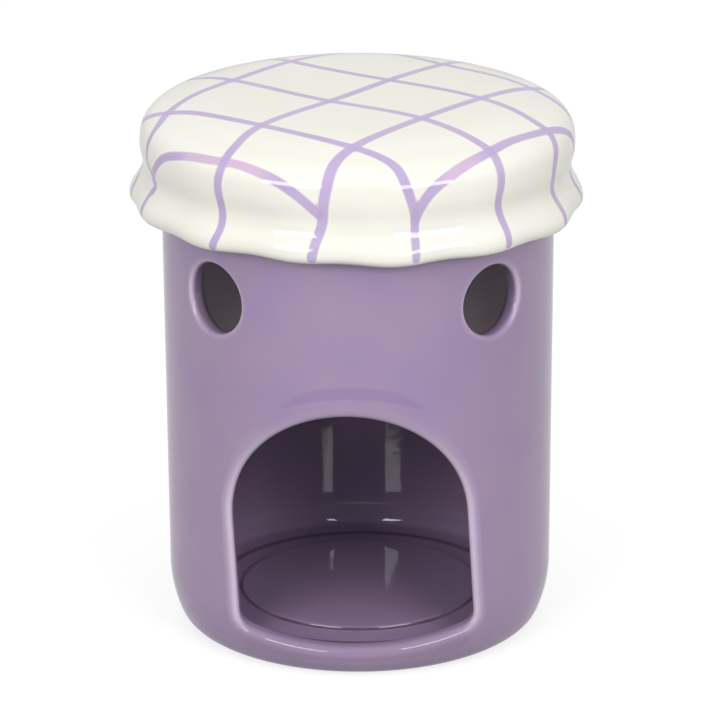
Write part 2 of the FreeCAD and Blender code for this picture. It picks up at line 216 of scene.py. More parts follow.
inner = [(0, PLATEAU), (DISC_SUPPORT, PLATEAU)]
inner += [(DISC + outset * MM, PLATEAU - drop * MM) for outset, drop in DISC_EDGE]
inner += [(DISC + outset * MM, FLOOR_HEIGHT + rise * MM) for outset, rise in DISC_FOOT]
inner += [(CREASE_START, FLOOR_HEIGHT)]
inner_block_start = len(inner) - 1
inner += [(INNER_RADIUS - inset * MM, FLOOR_HEIGHT + rise * MM) for inset, rise in FLOOR_CORNER]
inner += [(INNER_RADIUS, HEEL_HEIGHT)]
inner += straight((INNER_RADIUS, HEEL_HEIGHT), (INNER_RADIUS, SHOULDER_HEIGHT), WALL_ROWS)
inner += straight((INNER_RADIUS, SHOULDER_HEIGHT), (INNER_COLLAR, COLLAR_FOOT), STEP_ROWS)
inner += straight((INNER_COLLAR, COLLAR_FOOT), (INNER_COLLAR, roof_edge), UPPER_ROWS)
inner += arc((0, DISH_CENTRE), ROOF_SPHERE, roof_turn, -90, DISH_ROWS)
print("the inner section has", len(inner), "points")

# %% [markdown]
# ## Two skins in one mesh
# The clay lies between the two skins. Both are turned on their own and joined as one object.
# A Solidify modifier would make the second skin from the first, but the real chamber has its
# own form, with a floor and a roof that the outside doesn't show.

# %% The two skins
outer_skin = turned_section("jar_outer_skin", outer, COLUMNS)
jar = turned_section("jar_glazed", inner, COLUMNS)
outer_skin.select_set(True)
bpy.context.view_layer.objects.active = jar
bpy.ops.object.join()
print("both skins have", len(jar.data.vertices), "vertices")

# %% [markdown]
# ## Places on a skin
# Each vertex of a skin has an angle from the front and a distance along the section. An opening
# is planned in those two, and only then turned into a place in space, so that every new vertex
# lies exactly on the turned wall and the glaze stays smooth.

# %% Places on a skin
COLUMN = 2 * math.pi / COLUMNS


class Skin:
    def __init__(self, section, block_start):
        self.points = np.array(section)
        steps = np.hypot(*np.diff(self.points, axis=0).T)
        self.along = np.concatenate([[0], np.cumsum(steps)])
        self.block_start = block_start
        wall_end = block_start + HEEL_ROWS + WALL_ROWS
        self.wall = slice(block_start, wall_end + 1)

    def place(self, angle, along):
        radius = np.interp(along, self.along, self.points[:, 0])
        height = np.interp(along, self.along, self.points[:, 1])
        return Vector((radius * math.sin(angle), -radius * math.cos(angle), height))

    def radius_at(self, height):
        return float(np.interp(height, self.points[self.wall, 1], self.points[self.wall, 0]))

    def along_at(self, height):
        return float(np.interp(height, self.points[self.wall, 1], self.along[self.wall]))

    def row(self, number):
        return float(self.along[self.block_start + number])


outer_wall = Skin(outer, outer_block_start)
inner_wall = Skin(inner, inner_block_start)
print("sections", outer_wall.along[-1], "and", inner_wall.along[-1], "long")

# %% [markdown]
# ## Outlines of the openings
# The arch was cut by hand with its legs leaning a little, and its sill bows up towards soft
# corners. It is drawn as arcs, in four sides that match the four sides of the block of faces
# that is taken out for it. A vent is a circle in four quarters.

# %% Arcs on the flat wall
ARC_POINTS = 40
CORNER_POINTS = 12
TOP_POINTS = 80


def flat_arc(centre, radius, start, end, points=ARC_POINTS):
    turns = np.linspace(start, end, points)
    return [Vector((centre.x + radius * math.cos(a), centre.y + radius * math.sin(a))) for a in turns]


def spaced(side, count):
    """Points spread evenly along one side, the last one left out for the next side."""
    line = np.array([tuple(point) for point in side])
    steps = np.hypot(*np.diff(line, axis=0).T)
    along = np.concatenate([[0], np.cumsum(steps)])
    wanted = np.linspace(0, along[-1], count + 1)[:-1]
    return np.column_stack([np.interp(wanted, along, line[:, axis]) for axis in (0, 1)])


# %% The arch's outline
ARCH_RADIUS = 28.6 * MM
ARCH_CENTRE = Vector((-1.05 * MM, 39.5 * MM))
ARCH_LEAN = math.radians(3.3)
SILL_CENTRE = Vector((-1.05 * MM, 158.1 * MM))
SILL_RADIUS = 150 * MM
ARCH_CORNER = 3.5 * MM


def arch_corner(side):
    """The centre of a lower corner's arc: a corner's radius inside the leg and the sill."""
    out = Vector((math.cos(ARCH_LEAN), math.sin(ARCH_LEAN))) * side
    down = Vector((math.sin(ARCH_LEAN), -math.cos(ARCH_LEAN)))
    start = ARCH_CENTRE + out * (ARCH_RADIUS - ARCH_CORNER)
    gap = start - SILL_CENTRE
    along = gap.dot(down)
    reach = SILL_RADIUS - ARCH_CORNER
    return start + down * (math.sqrt(along ** 2 + reach ** 2 - gap.length_squared) - along)


def arch_sides():
    left, right = arch_corner(-1), arch_corner(1)
    sill_left = math.atan2(*reversed(left - SILL_CENTRE))
    sill_right = math.atan2(*reversed(right - SILL_CENTRE))
    leg_left, leg_right = math.pi + ARCH_LEAN, ARCH_LEAN
    middle_left = (leg_left + sill_left + 2 * math.pi) / 2
    middle_right = (sill_right + leg_right) / 2
    eighth = math.pi / 4
    bottom = flat_arc(left, ARCH_CORNER, middle_left, sill_left + 2 * math.pi, CORNER_POINTS)
    bottom += flat_arc(SILL_CENTRE, SILL_RADIUS, sill_left, sill_right)
    bottom += flat_arc(right, ARCH_CORNER, sill_right, middle_right, CORNER_POINTS)
    right_side = flat_arc(right, ARCH_CORNER, middle_right, leg_right, CORNER_POINTS)
    right_side += flat_arc(ARCH_CENTRE, ARCH_RADIUS, leg_right, leg_right + eighth)
    top = flat_arc(ARCH_CENTRE, ARCH_RADIUS, leg_right + eighth, leg_left - eighth, TOP_POINTS)
    left_side = flat_arc(ARCH_CENTRE, ARCH_RADIUS, leg_left - eighth, leg_left)
    left_side += flat_arc(left, ARCH_CORNER, leg_left, middle_left, CORNER_POINTS)
    return [bottom, right_side, top, left_side]


print("the arch's corners:", tuple(arch_corner(-1)), tuple(arch_corner(1)))

# %% A vent's outline
VENT_HEIGHT = 93.9 * MM
VENT_RADIUS = 8.8 * MM
VENT_ANGLE = math.radians(44.75)


def vent_sides():
    centre = Vector((0, VENT_HEIGHT))
    start = -3 * math.pi / 4
    quarter = math.pi / 2
    return [flat_arc(centre, VENT_RADIUS, start + side * quarter, start + (side + 1) * quarter)
            for side in range(4)]


print("a vent has", len(vent_sides()), "sides")

# %% [markdown]
# ## Taking faces out
# A hole starts as a block of faces that is deleted from both skins. The faces are found by the
# place of their middle. The block's border is followed anticlockwise, as the outline is.

# %% Taking a block of faces out
def finder(places):
    """A search tree that tells which of the places is nearest to a point."""
    tree = KDTree(len(places))
    for number, place in enumerate(places):
        tree.insert(place, number)
    tree.balance()
    return tree


def take_out_block(columns, rows):
    """Delete the faces of both skins that lie between the given columns and rows."""
    bpy.ops.mesh.select_all(action="DESELECT")
    bpy.ops.mesh.select_mode(type="FACE")
    mesh = bmesh.from_edit_mesh(jar.data)
    mesh.faces.ensure_lookup_table()
    tree = finder([face.calc_center_median() for face in mesh.faces])
    for skin in (outer_wall, inner_wall):
        for column in range(*columns):
            for row in range(*rows):
                corners = [skin.place((column + i) * COLUMN, skin.row(row + j))
                           for i in (0, 1) for j in (0, 1)]
                middle = sum(corners, Vector()) / 4
                mesh.faces[tree.find(middle)[1]].select_set(True)
    bpy.ops.mesh.delete(type="FACE")
    # Leaving edit mode packs the vertices, and new ones then only add to the end of their list
    bpy.ops.object.mode_set(mode="OBJECT")
    bpy.ops.object.mode_set(mode="EDIT")


def block_ring(columns, rows):
    """The block's border as (column, row), anticlockwise from its lower left corner."""
    first, last = columns
    low, high = rows
    ring = [(column, low) for column in range(first, last)]
    ring += [(last, row) for row in range(low, high)]
    ring += [(column, high) for column in range(last, first, -1)]
    return ring + [(first, row) for row in range(high, low, -1)]


print("border of two by one:", block_ring((0, 2), (0, 1)))

# %% [markdown]
# ## Rings round an opening
# The outer hole's edge is extruded again and again: over the wall to the lip, round the soft
# lip, through the wall, round the inner lip and over the inner skin to its own hole, where the
# last ring is merged. This gives rings of faces that follow the opening, as an inset would,
# with a true round lip that a Boolean lacks.

# %% The rings' places
def ring_offsets(outline):
    """The outward direction at each point of a closed outline."""
    tangent = np.roll(outline, -1, axis=0) - np.roll(outline, 1, axis=0)
    tangent /= np.linalg.norm(tangent, axis=1)[:, None]
    return np.column_stack([tangent[:, 1], -tangent[:, 0]])


def through(direction, across, height, depth):
    """A place at a distance across the cut and a depth along it, from the axis outwards."""
    along = Vector((math.sin(direction), -math.cos(direction), 0))
    side = Vector((math.cos(direction), math.sin(direction), 0))
    return side * across + along * depth + Vector((0, 0, height))


class Opening:
    """An opening's outline, and the places of the rings that run round it."""

    def __init__(self, sides, direction, columns, rows):
        counts = [columns[1] - columns[0], rows[1] - rows[0]] * 2
        self.outline = np.vstack([spaced(side, count) for side, count in zip(sides, counts)])
        self.outward = ring_offsets(self.outline)
        self.direction = direction
        self.border = block_ring(columns, rows)

    def depth(self, skin, point):
        """How far from the axis the cut meets a skin, at a point of the outline."""
        return math.sqrt(skin.radius_at(point[1]) ** 2 - point[0] ** 2)

    def lip_ring(self, skin, offset, inset):
        points = self.outline + self.outward * offset
        return [through(self.direction, p[0], p[1], self.depth(skin, p) + inset) for p in points]

    def skin_ring(self, skin, offset, share):
        """Between the lip's border, at share 0, and the block's border, at share 1."""
        places = []
        for point, (column, row) in zip(self.outline + self.outward * offset, self.border):
            angle = self.direction + math.atan2(point[0], self.depth(skin, point))
            along = skin.along_at(point[1])
            angle += (column * COLUMN - angle) * share
            along += (skin.row(row) - along) * share
            places.append(skin.place(angle, along))
        return places


# %% The rings in their order
OUTER_SHARES = (0.8, 0.6, 0.42, 0.26, 0.12)
INNER_SHARES = (0.15, 0.35, 0.6, 0.8, 1.0)
LIP_STEPS = 6
WALL_STEPS = 4
BORDER_PALE = 0.15
INNER_LIP_PALE = 0.3


def opening_rings(opening, lip, inner_lip):
    """The rings from outside to inside, each with its share of pale glaze and painted highlight."""
    rings = [(opening.skin_ring(outer_wall, lip, share), 0) for share in OUTER_SHARES]
    rings.append((opening.skin_ring(outer_wall, lip, 0), BORDER_PALE))
    for turn in np.radians(np.linspace(0, 90, LIP_STEPS + 1)[1:]):
        inset = -lip * (1 - math.cos(turn))
        places = opening.lip_ring(outer_wall, lip * (1 - math.sin(turn)), inset)
        rings.append((places, BORDER_PALE + (1 - BORDER_PALE) * math.sin(turn * 2) ** 2))
    outer_end = np.array(rings[-1][0])
    inner_end = np.array(opening.lip_ring(inner_wall, 0, inner_lip))
    for share in np.linspace(0, 1, WALL_STEPS + 1)[1:-1]:
        places = outer_end + (inner_end - outer_end) * share
        rings.append(([Vector(place) for place in places], 0))
    for turn in np.radians(np.linspace(0, 90, LIP_STEPS + 1)):
        inset = inner_lip * (1 - math.sin(turn))
        places = opening.lip_ring(inner_wall, inner_lip * (1 - math.cos(turn)), inset)
        rings.append((places, INNER_LIP_PALE))
    rings += [(opening.skin_ring(inner_wall, inner_lip, share), 0) for share in INNER_SHARES]
    return rings


print(len(OUTER_SHARES + INNER_SHARES), "rings lie on the skins")

# %% Extruding a ring
def extrude_ring(ring, places, pale_shares):
    """Extrude an open edge loop, given as vertex numbers, and move its copy to the places. The
    copy's vertices also keep their share of pale glaze and painted highlight."""
    mesh = bmesh.from_edit_mesh(jar.data)
    mesh.verts.ensure_lookup_table()
    for number, start in enumerate(ring):
        end = mesh.verts[ring[number - 1]]
        edge = next(e for e in mesh.verts[start].link_edges if e.other_vert(mesh.verts[start]) == end)
        edge.select_set(True)
    bpy.ops.mesh.extrude_edges_move()
    mesh = bmesh.from_edit_mesh(jar.data)
    mesh.verts.ensure_lookup_table()
    layer = mesh.verts.layers.float["lip_pale_glaze_and_highlight"]
    new_ring = []
    for start, place, pale_share in zip(ring, places, pale_shares):
        old = mesh.verts[start]
        new = next(e.other_vert(old) for e in old.link_edges if e.other_vert(old).select)
        new.co = place
        new[layer] = pale_share
        new_ring.append(new.index)
    bpy.ops.mesh.select_all(action="DESELECT")
    return new_ring


# %% [markdown]
# ## Cutting the arch and the vents
# The glaze breaks pale over an edge, and a highlight is painted there as well, most on the arch's
# legs and less at its top and on the sill. Each ring therefore keeps a share of pale glaze and
# painted highlight, weakened where the edge faces up or down.

# %% Cutting an opening
SILL_LOSS = 0.9
TOP_LOSS = 0.5
CLOSING_DISTANCE = 0.002 * MM


def cut_opening(sides, direction, columns, rows, lip, inner_lip):
    take_out_block(columns, rows)
    bpy.ops.mesh.select_mode(type="EDGE")
    bpy.ops.mesh.select_all(action="DESELECT")
    opening = Opening(sides, direction, columns, rows)
    mesh = bmesh.from_edit_mesh(jar.data)
    tree = finder([vertex.co for vertex in mesh.verts])
    ring = [tree.find(place)[1] for place in opening.skin_ring(outer_wall, lip, 1.0)]
    upward = opening.outward[:, 1]
    # Pale glaze and painted highlight, weaker where the edge faces down at the sill or up at the top
    facing_share = 1 - SILL_LOSS * np.clip(-upward, 0, 1) ** 1.5 - TOP_LOSS * np.clip(upward, 0, 1) ** 2
    for places, pale_share in opening_rings(opening, lip, inner_lip):
        ring = extrude_ring(ring, places, pale_share * facing_share)
    bpy.ops.mesh.select_all(action="SELECT")
    bpy.ops.mesh.remove_doubles(threshold=CLOSING_DISTANCE)
    print("an opening cut in columns", columns, "and rows", rows)


def finish_shell(piece, smooth_angle):
    """Turn all faces outwards and shade the piece smooth up to an angle between faces."""
    leave_edit_mode()
    bpy.context.view_layer.objects.active = piece
    bpy.ops.object.mode_set(mode="EDIT")
    bpy.ops.mesh.select_all(action="SELECT")
    bpy.ops.mesh.normals_make_consistent(inside=False)
    leave_edit_mode()
    bpy.ops.object.shade_smooth_by_angle(angle=smooth_angle)
    print(piece.name, "has", len(piece.data.polygons), "faces")


# %% The three openings
ARCH_COLUMNS, ARCH_ROWS = (-25, 25), (0, HEEL_ROWS + 25)
VENT_COLUMNS, VENT_ROWS = (15, 33), (HEEL_ROWS + 27, HEEL_ROWS + 39)
ARCH_LIP, VENT_LIP = 2.8 * MM, 1.4 * MM
INNER_LIP, VENT_INNER_LIP = 1.0 * MM, 2.4 * MM
JAR_SMOOTH_ANGLE = math.radians(40)

bpy.ops.object.mode_set(mode="EDIT")
bmesh.from_edit_mesh(jar.data).verts.layers.float.new("lip_pale_glaze_and_highlight")
cut_opening(arch_sides(), 0.0, ARCH_COLUMNS, ARCH_ROWS, ARCH_LIP, INNER_LIP)
cut_opening(vent_sides(), VENT_ANGLE, VENT_COLUMNS, VENT_ROWS, VENT_LIP, VENT_INNER_LIP)
mirrored = tuple(-column for column in reversed(VENT_COLUMNS))
cut_opening(vent_sides(), -VENT_ANGLE, mirrored, VENT_ROWS, VENT_LIP, VENT_INNER_LIP)
finish_shell(jar, JAR_SMOOTH_ANGLE)

# %% [markdown]
# ## Painted shade and light in the chamber
# The chamber's wall is painted darker as shade, its floor less so, and the sill is a little darker
# too. High under the roof the wall is painted pale grey as light, and painted shade darkens the
# vents into the wall. This could be painted on as vertex colours, but worked out from each
# vertex's place it is even all round.

# %% Numbers on a mesh
def vertex_places(piece):
    places = np.empty(len(piece.data.vertices) * 3)
    piece.data.vertices.foreach_get("co", places)
    return places.reshape(-1, 3)


def keep_on_mesh(piece, name, values):
    """Keep one number for each vertex, under a name that a material can read."""
    piece.data.attributes.new(name, "FLOAT", "POINT").data.foreach_set("value", values)
    print(name, "is set on", int((values > 0).sum()), "vertices")


# %% Painted shade and light on the jar
SKIN_SLACK = 0.3 * MM
FLOOR_SLACK = 0.2 * MM
SHADE_HEIGHTS, SHADE_SHARES = [8 * MM, 26 * MM], [0.25, 1.0]
SILL_HEIGHT, SILL_REACH, SILL_PEAK, SILL_DARK = 7 * MM, 3.5 * MM, 1.3, 0.5
SILL_FRONT, SILL_END, SILL_FADE = -37 * MM, 30.5 * MM, 4 * MM
UPPER_LIGHT_HEIGHTS = [48 * MM, 58 * MM]
VENT_START, VENT_RUN, VENT_ZONE = WALL_RADIUS - 0.6 * MM, WALL - 0.8 * MM, 12 * MM

jar_places = vertex_places(jar)
jar_radii = np.hypot(jar_places[:, 0], jar_places[:, 1])
heights = jar_places[:, 2]
below_roof = np.hypot(jar_radii, heights - DISH_CENTRE) > ROOF_SPHERE - SKIN_SLACK
inside_wall = jar_radii < INNER_RADIUS + SKIN_SLACK
chamber = inside_wall & (heights > FLOOR_HEIGHT - FLOOR_SLACK) & below_roof
# Painted shade on the chamber's wall, stronger higher up, and a little darker on the sill
chamber_shade = np.interp(heights, SHADE_HEIGHTS, SHADE_SHARES) * chamber
sill = np.clip(SILL_PEAK - np.abs(heights - SILL_HEIGHT) / SILL_REACH, 0, 1)
sill = sill * (jar_places[:, 1] < SILL_FRONT)
sill = sill * np.clip((SILL_END - np.abs(jar_places[:, 0])) / SILL_FADE, 0, 1)
chamber_shade = np.maximum(chamber_shade, SILL_DARK * sill)
# Painted light: the wall high under the roof is painted pale grey
upper_light = np.interp(heights, UPPER_LIGHT_HEIGHTS, [0.0, 1.0]) * chamber
# Painted shade: the vents' bores darken towards the inside of the wall
near_vent = np.abs(heights - VENT_HEIGHT) < VENT_ZONE
vent_bore_shade = np.clip((VENT_START - jar_radii) / VENT_RUN, 0, 1) * near_vent * ~chamber
keep_on_mesh(jar, "chamber_shade_and_dark_sill", chamber_shade)
keep_on_mesh(jar, "upper_chamber_light", upper_light)
keep_on_mesh(jar, "vent_bore_shade", vent_bore_shade)

# %% [markdown]
# ## The lid
# The lid is a hollow bell, cast in one piece and shaped like a cloth gathered over the jar's
# mouth: a crown like a cushion, a neck, and a skirt with soft folds. It is turned like the jar,
# with rows fine enough to carry the painted lines, and the folds are then pulled in and out. A
# cloth simulation would give sharper folds than the thick, glazed clay has.

# %% A smooth line through a few points
def smooth_line(points, spacing):
    """A natural cubic spline through the points, sampled at equal steps."""
    points = np.array(points, dtype=float)
    knots = np.concatenate([[0], np.cumsum(np.hypot(*np.diff(points[:, :2], axis=0).T))])
    gaps = np.diff(knots)
    system = np.eye(len(points))
    target = np.zeros_like(points)
    for i in range(1, len(points) - 1):
        system[i, i - 1:i + 2] = gaps[i - 1], 2 * (gaps[i - 1] + gaps[i]), gaps[i]
        after = (points[i + 1] - points[i]) / gaps[i]
        target[i] = 6 * (after - (points[i] - points[i - 1]) / gaps[i - 1])
    bends = np.linalg.solve(system, target)
    at = np.linspace(0, knots[-1], max(2, round(knots[-1] / spacing) + 1))
    i = np.clip(np.searchsorted(knots, at) - 1, 0, len(gaps) - 1)
    gap = gaps[i][:, None]
    far = (at - knots[i])[:, None] / gap
    near = 1 - far
    curve = (near ** 3 - near) * bends[i] + (far ** 3 - far) * bends[i + 1]
    return near * points[i] + far * points[i + 1] + curve * gap ** 2 / 6


print("top of a bend:", smooth_line([(0, 0), (1, 1), (2, 0)], 1.5)[1])

# %% The lid's sizes
INNER_NECK = COLLAR_RADIUS + 1.8 * MM
NECK = INNER_NECK + 4.1 * MM
CROWN = NECK + 1.4 * MM
FLARE = NECK + 3.5 * MM
HEM = FLARE - 2.05 * MM
NECK_Z = RIM_HEIGHT - 11.2 * MM
CROWN_Z = RIM_HEIGHT - 4.6 * MM
FLARE_Z = RIM_HEIGHT - 18.2 * MM
HEM_Z = RIM_HEIGHT - 20.9 * MM
WAIST_Z = (NECK_Z + FLARE_Z) / 2
UNDER_CROWN_Z = (CROWN_Z + NECK_Z) / 2
RISE = LID_TOP - CROWN_Z
# The crown's round: share of its radius, share of its drop, share of the folds
CROWN_ROUND = [(0, 0, 0), (0.12, 0, 0), (0.40, 0.012, 0), (0.62, 0.052, 0), (0.76, 0.130, 0),
               (0.86, 0.260, 0), (0.950, 0.450, 0.02), (0.974, 0.570, 0.04), (0.990, 0.710, 0.06)]
SEAT_RADII = (38 * MM, 24 * MM, 10 * MM, 0)
OUTSIDE_SPACING = 0.72 * MM
INSIDE_SPACING = 1.9 * MM
LID_COLUMNS = 448
print("neck", NECK, "crown", CROWN, "flare", FLARE)

# %% The lid's section, as radius, height and share of the folds
lid_outside = [(CROWN * out, LID_TOP - RISE * down, share) for out, down, share in CROWN_ROUND]
lid_outside += [
    (CROWN, CROWN_Z, 0.12),
    (NECK + 1.2 * MM, UNDER_CROWN_Z + 0.3 * MM, 0.25),
    (NECK + 0.5 * MM, NECK_Z + 0.3 * MM, 0.45),
    ((NECK + FLARE) / 2 + 0.1 * MM, WAIST_Z, 0.72),
    (FLARE, FLARE_Z, 0.95),
    (FLARE - 0.3 * MM, HEM_Z + 1.13 * MM, 1.0),
    (HEM, HEM_Z, 1.0),
]
lid_inside = [
    (HEM, HEM_Z, 1.0),
    (FLARE - 3.6 * MM, HEM_Z + 1.23 * MM, 1.0),
    (FLARE - 4.4 * MM, FLARE_Z + 0.9 * MM, 0.92),
    (INNER_NECK + 1.6 * MM, WAIST_Z + 0.3 * MM, 0.7),
    (INNER_NECK, NECK_Z + 0.3 * MM, 0.45),
    (INNER_NECK + 0.84 * MM, UNDER_CROWN_Z + 0.7 * MM, 0.22),
    (CROWN - 4.2 * MM, CROWN_Z + 0.2 * MM, 0.08),
    (CROWN - 5.8 * MM, RIM_HEIGHT - 0.9 * MM, 0),
    (COLLAR_RADIUS, RIM_HEIGHT, 0),
]
outside = smooth_line(lid_outside, OUTSIDE_SPACING)
inside = smooth_line(lid_inside, INSIDE_SPACING)
inside[-1] = (COLLAR_RADIUS, RIM_HEIGHT, 0)
seat = [(radius, RIM_HEIGHT, 0) for radius in SEAT_RADII]
lid_section = np.vstack([outside, inside[1:], seat])
lid = turned_section("lid_glazed", [(r, z) for r, z, share in lid_section], LID_COLUMNS)

# %% Which point of the section each vertex came from
lid_places = vertex_places(lid)
lid_radii = np.hypot(lid_places[:, 0], lid_places[:, 1])
angles = np.arctan2(lid_places[:, 0], -lid_places[:, 1])
section_tree = finder([(radius, height, 0) for radius, height, share in lid_section])
rows = np.array([section_tree.find((radius, height, 0))[1]
                 for radius, height in zip(lid_radii, lid_places[:, 2])])
fold_share = lid_section[rows, 2]
painted = rows < len(outside)
print("vertices on the painted side:", int(painted.sum()))

# %% [markdown]
# ## The folds
# The cloth's folds are gentle and not quite even. A sum of waves gives their place round the
# skirt, and the share from the section lets them grow from the crown down to the hem. The hem
# also droops at two places, and the front of the neck is less deep than the back.

# %% Pull the folds in and out
FOLDS = 14
FOLD_TURN = 11.7
FOLD_DEPTH = 0.45 * MM
# Slow waves that make the folds uneven: size, number round the skirt, turn in degrees
FOLD_DRIFTS = ((0.8, 3, 41), (0.55, 7, 8))
NECK_FILL = 0.5 * MM
NECK_FILL_REACH = 3.2 * MM


def fold_wave(angle):
    drift = sum(size * np.cos(waves * (angle - math.radians(turn)))
                for size, waves, turn in FOLD_DRIFTS)
    return np.cos(FOLDS * (angle - math.radians(FOLD_TURN))) + drift


fold = fold_wave(angles) * fold_share
pulled = lid_radii + fold * FOLD_DEPTH
at_neck = np.exp(-((lid_places[:, 2] - NECK_Z) / NECK_FILL_REACH) ** 2) * painted
pulled += NECK_FILL * at_neck * np.clip(np.cos(angles), 0, 1) ** 2
lid_places[:, 0] = pulled * np.sin(angles)
lid_places[:, 1] = -pulled * np.cos(angles)
print("the lid reaches", pulled.max(), "from its axis")

# %% Let the hem wave and droop
HEM_WAVE = 0.2 * MM
HEM_DROOPS = ((95, 0.8 * MM), (-88, 0.4 * MM))
DROOP_SPREAD = math.radians(24)
LEAN = 0.006
LID_SMOOTH_ANGLE = math.radians(50)

lid_places[:, 2] -= fold * HEM_WAVE
for where, drop in HEM_DROOPS:
    apart = np.angle(np.exp(1j * (angles - math.radians(where))))
    lid_places[:, 2] -= fold_share ** 2 * drop * np.exp(-(apart / DROOP_SPREAD) ** 2)
# The lid sits a little lower on the right, and its flat seat stays on the rim
lid_places[:, 2] -= np.where(painted, 1, fold_share) * LEAN * lid_places[:, 0]
lid.data.vertices.foreach_set("co", lid_places.ravel())
finish_shell(lid, LID_SMOOTH_ANGLE)

# %% [markdown]
# ## The painted check
# Each line is kept as a few points on the cloth laid flat, in millimetres, with the brush's
# width at each. Every vertex then gets its distance from the nearest line's edge, one number for
# each family, and the material turns these into paint. Numbers on fine rows stay sharper than a
# painted image would.

# %% Brush lines on the flat cloth, as (x, y, width) in mm
LINES_ACROSS = [
    [(4, 74, 2.6), (2, 49, 2.4), (-7.3, 39.6, 2.3), (-17.7, 29.9, 2.3), (-31.1, 12.2, 2.3),
     (-44.5, -5.5, 2.3), (-47.0, -11.5, 2.3), (-48.8, -15.8, 2.3), (-51.4, -17.9, 2.3),
     (-53.9, -18.6, 2.3), (-56.4, -19.6, 2.3), (-57.8, -22.4, 2.3), (-58.3, -25, 2.3),
     (-59.2, -26.7, 2.3), (-62.7, -25.5, 2.3), (-65, -26.1, 2.5), (-67, -26.9, 2.6)],
    [(46, 58, 2.6), (33, 46, 2.4), (25.3, 35.6, 2.3), (7.4, 11.9, 2.4), (-6.4, -7, 2.4),
     (-21.2, -24.9, 2.4), (-26.0, -32.9, 2.5), (-29.3, -39.6, 2.5), (-31.6, -43.3, 2.5),
     (-34.1, -46.2, 2.5), (-36.1, -50, 2.6), (-37.5, -52.8, 2.6), (-39.8, -56.5, 2.6),
     (-43.5, -58.9, 2.6)],
    [(69, 26, 2.6), (46.5, 19.0, 2.4), (42.9, 14.3, 2.4), (30.2, -1.8, 2.4), (16.1, -20, 2.5),
     (0.6, -40.6, 2.7), (-2.3, -45.0, 2.7), (-4.3, -49.9, 2.8), (-5.6, -54.5, 2.8),
     (-7.1, -59.8, 2.9), (-8, -63.9, 3), (-9.9, -67.6, 3), (-11.9, -72, 3.1)],
    [(73, -6.5, 2.6), (64.4, -7, 2.6), (56.1, -7.9, 2.5), (48.0, -15.5, 2.5),
     (42.2, -23.1, 2.5), (37.3, -29.4, 2.6), (33, -36, 2.7), (28.2, -42.4, 2.7),
     (24.1, -47.8, 2.7), (20.8, -52.4, 2.7), (18.7, -58, 2.8), (18.4, -61.3, 2.6)],
]
LINES_ALONG = [
    [(-5, 74, 2.6), (-2, 49.5, 2.4), (5.7, 42.6, 2.3), (20.3, 28.9, 2.3), (42.2, 14.6, 2.3),
     (48.6, 7.7, 2.3), (56, 2, 2.3), (64, 4, 2.4), (73, 5, 2.5)],
    [(-43, 60, 2.6), (-31, 42, 2.4), (-23.3, 35.7, 2.3), (-17.7, 29.9, 2.3), (7.4, 11.9, 2.2),
     (30.2, -1.8, 2.3), (41.6, -12.2, 2.3), (47.1, -17.5, 2.4), (50.1, -21.4, 2.4),
     (52.9, -25.6, 2.5), (57.1, -27.8, 2.5), (61.7, -28.2, 2.6), (66, -30.1, 2.6)],
    [(-64, 37, 2.6), (-46, 25, 2.4), (-39.9, 19.4, 2.3), (-31.3, 12.2, 2.3), (-6.4, -7, 2.3),
     (16.1, -20, 2.4), (27.0, -30.2, 2.5), (33.2, -36, 2.5), (35.6, -39.4, 2.5),
     (38.3, -43, 2.5), (40.4, -46.7, 2.5), (45.5, -50.3, 2.6), (48.8, -53.9, 2.6)],
    [(-72, -8, 2.4), (-66, -3.4, 2.3), (-60.5, -1.6, 2.3), (-55.5, -2.2, 2.3), (-50, -6.6, 2.3),
     (-44.2, -9.9, 2.4), (-34.3, -17.2, 2.4), (-24.4, -24.5, 2.4), (0.6, -40.9, 2.5),
     (6.6, -44.6, 2.5), (10.9, -48.7, 2.5), (13.4, -52.6, 2.5), (16, -56.6, 2.5),
     (18, -60.2, 2.5), (19.2, -64.7, 2.6), (20.4, -69.8, 2.6)],
    [(-58.9, -24, 2), (-52.1, -26.9, 2.2), (-48.5, -28.6, 2.2), (-43.8, -32.1, 2.2),
     (-38.3, -36.4, 2.3), (-33.4, -40.2, 2.3), (-27.8, -43.8, 2.3), (-23.3, -47.2, 2.4),
     (-17.4, -52, 2.5), (-12.6, -56.8, 2.5), (-8.4, -61.5, 2.7)],
]
print(len(LINES_ACROSS), "lines across and", len(LINES_ALONG), "along")

# %% Distances from the brush lines
FAR_OFF = -9.0
DOT_SPACING = 0.3

outside_steps = np.hypot(*np.diff(outside[:, :2], axis=0).T)
cloth_run = np.concatenate([[0], np.cumsum(outside_steps)]) / MM
cloth = np.where(painted, np.interp(rows, np.arange(len(outside)), cloth_run), 0)
flat_x = cloth * np.sin(angles)
flat_y = -cloth * np.cos(angles)


def paint_reach(lines):
    """How far each vertex is inside the nearest line's edge, in mm; negative is off the paint."""
    reach = np.full(len(cloth), FAR_OFF)
    for line in lines:
        for x, y, width in smooth_line(line, DOT_SPACING):
            reach = np.maximum(reach, width / 2 - np.hypot(flat_x - x, flat_y - y))
    return reach


across = np.where(painted, paint_reach(LINES_ACROSS), FAR_OFF)
along = np.where(painted, paint_reach(LINES_ALONG), FAR_OFF)
keep_on_mesh(lid, "brush_once", np.maximum(across, along))
keep_on_mesh(lid, "brush_twice", np.minimum(across, along))

# %% Where the brush held a little pink
# Two places on the flat cloth, as (x, y, size) in mm, on one line of each family
PINK_PLACES = ((-30.5, -41.5, 13), (26.7, -44.7, 6))
PINK_FADE = 4
PINK_ACROSS, PINK_ALONG = 3, 4
BRUSH_SLACK = 0.6

